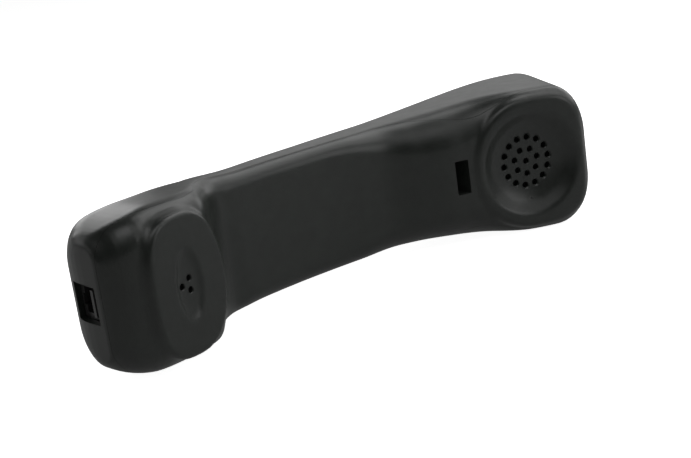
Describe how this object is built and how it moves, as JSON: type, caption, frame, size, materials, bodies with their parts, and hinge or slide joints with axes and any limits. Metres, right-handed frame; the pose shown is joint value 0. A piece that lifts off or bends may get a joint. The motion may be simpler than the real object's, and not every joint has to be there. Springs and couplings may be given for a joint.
{
  "type": "telephone handset",
  "caption": "Corded desk-telephone handset: bridge-shaped handle, dished ear cup with sound holes, oval mouthpiece and a modular cord jack in its lower end.",
  "frame": {"origin": "centre of the bounding box in X and Y, on the floor that the long side of the case rests on", "axes": "+X from mouthpiece to earpiece, ear cup and mouthpiece look towards -Y, +Z across the width, up as it stands on its side"},
  "size_m": [0.2152, 0.0589, 0.051],
  "materials": {
    "case_plastic": "fine satin-matte texture, charcoal",
    "dark_plastic": "moulded, dull black",
    "jack_plastic": "smooth, dark grey",
    "cloth": "fine woven acoustic cloth",
    "foam": "closed-cell foam",
    "boot_rubber": "matte moulded rubber",
    "membrane": "thin amber film",
    "copper_winding": "enamelled copper winding",
    "magnet": "nickel plated",
    "steel": "zinc plated",
    "weight_steel": "plain cut bar",
    "capsule_can": "drawn can",
    "circuit_board": "solder mask",
    "contact_gold": "gold-flashed spring wire",
    "wire_red": "PVC insulation",
    "wire_green": "PVC insulation",
    "wire_yellow": "PVC insulation",
    "wire_black": "PVC insulation"
  },
  "bodies": {
    "case": {"front_shell": "case_plastic", "back_shell": "case_plastic", "receiver_cloth": "cloth", "receiver_gasket": "foam", "receiver_front_cover": "dark_plastic", "receiver_basket": "dark_plastic", "receiver_magnet": "magnet", "receiver_top_plate": "steel", "receiver_yoke": "steel", "receiver_terminal_board": "circuit_board", "receiver_retainer": "dark_plastic", "retainer_screw_1": "steel", "retainer_screw_2": "steel", "microphone_cloth": "cloth", "microphone_boot": "boot_rubber", "microphone_capsule": "capsule_can", "jack_housing": "jack_plastic", "jack_board": "circuit_board", "board_screw_1": "steel", "board_screw_2": "steel", "balance_weight": "weight_steel", "weight_screw_1": "steel", "weight_screw_2": "steel", "receiver_wire_1": "wire_red", "receiver_wire_2": "wire_green", "microphone_wire_1": "wire_yellow", "microphone_wire_2": "wire_black"},
    "membrane": {"receiver_diaphragm": "membrane", "receiver_voice_coil": "copper_winding"},
    "jack_contact_1_arm": {"jack_contact_1": "contact_gold"},
    "jack_contact_2_arm": {"jack_contact_2": "contact_gold"},
    "jack_contact_3_arm": {"jack_contact_3": "contact_gold"},
    "jack_contact_4_arm": {"jack_contact_4": "contact_gold"}
  },
  "joints": [
    {"name": "diaphragm_travel", "type": "slide", "parent": "case", "child": "membrane", "axis": [0.3633, 0.9317, 0], "range_m": [-0.0003, 0.0003], "stiffness_N_per_m": 355},
    {"name": "contact_flex_1", "type": "hinge", "parent": "case", "child": "jack_contact_1_arm", "pos_m": [-0.1019, -0.0091, 0.02397], "axis": [0, 0, -1], "range_deg": [0, 12], "stiffness_Nm_per_rad": 0.0245},
    {"name": "contact_flex_2", "type": "hinge", "parent": "case", "child": "jack_contact_2_arm", "pos_m": [-0.1019, -0.0091, 0.02499], "axis": [0, 0, -1], "range_deg": [0, 12], "stiffness_Nm_per_rad": 0.0245},
    {"name": "contact_flex_3", "type": "hinge", "parent": "case", "child": "jack_contact_3_arm", "pos_m": [-0.1019, -0.0091, 0.02601], "axis": [0, 0, -1], "range_deg": [0, 12], "stiffness_Nm_per_rad": 0.0245},
    {"name": "contact_flex_4", "type": "hinge", "parent": "case", "child": "jack_contact_4_arm", "pos_m": [-0.1019, -0.0091, 0.02703], "axis": [0, 0, -1], "range_deg": [0, 12], "stiffness_Nm_per_rad": 0.0245}
  ]
}
